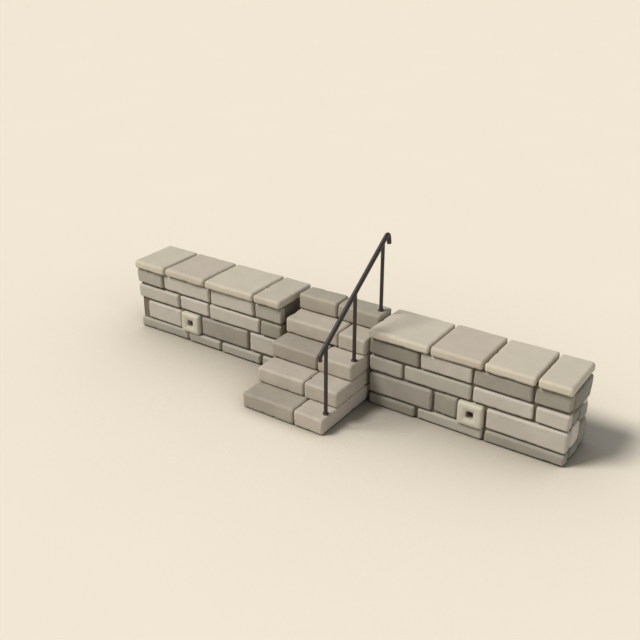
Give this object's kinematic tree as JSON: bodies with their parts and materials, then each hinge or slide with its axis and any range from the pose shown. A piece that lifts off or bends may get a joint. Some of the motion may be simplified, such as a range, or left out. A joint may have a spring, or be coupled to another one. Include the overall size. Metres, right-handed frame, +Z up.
{
  "type": "stone retaining wall with block steps and handrail",
  "caption": "Dressed-stone retaining wall in two coped sections with weep holes, five block steps through the opening and a round dark metal handrail.",
  "frame": {"origin": "on the ground, at the middle of the object's length and depth", "axes": "+X along the wall, +Y into the retained side, +Z up"},
  "size_m": [5.555, 1.435, 1.7969],
  "materials": {
    "coping_stone": "matte",
    "facing_stone": "matte",
    "weep_stone": "matte",
    "step_stone": "matte",
    "rubble": "matte",
    "rail_paint": "satin"
  },
  "bodies": {
    "root": {"handrail": "rail_paint", "left_backing": "rubble", "left_coping_1": "coping_stone", "left_coping_2": "coping_stone", "left_coping_3": "coping_stone", "left_coping_4": "coping_stone", "left_course_1": "facing_stone", "left_course_2": "facing_stone", "left_course_3": "facing_stone", "left_course_4": "facing_stone", "left_packing": "rubble", "left_weep_stone": "weep_stone", "post_1": "rail_paint", "post_2": "rail_paint", "post_3": "rail_paint", "post_flange_1": "rail_paint", "post_flange_2": "rail_paint", "post_flange_3": "rail_paint", "right_backing": "rubble", "right_coping_1": "coping_stone", "right_coping_2": "coping_stone", "right_coping_3": "coping_stone", "right_coping_4": "coping_stone", "right_course_1": "facing_stone", "right_course_2": "facing_stone", "right_course_3": "facing_stone", "right_course_4": "facing_stone", "right_packing": "rubble", "right_weep_stone": "weep_stone", "step_1_left": "step_stone", "step_1_right": "step_stone", "step_2_left": "step_stone", "step_2_right": "step_stone", "step_3_left": "step_stone", "step_3_right": "step_stone", "step_4_left": "step_stone", "step_4_right": "step_stone", "step_5_left": "step_stone", "step_5_right": "step_stone"}
  },
  "joints": []
}
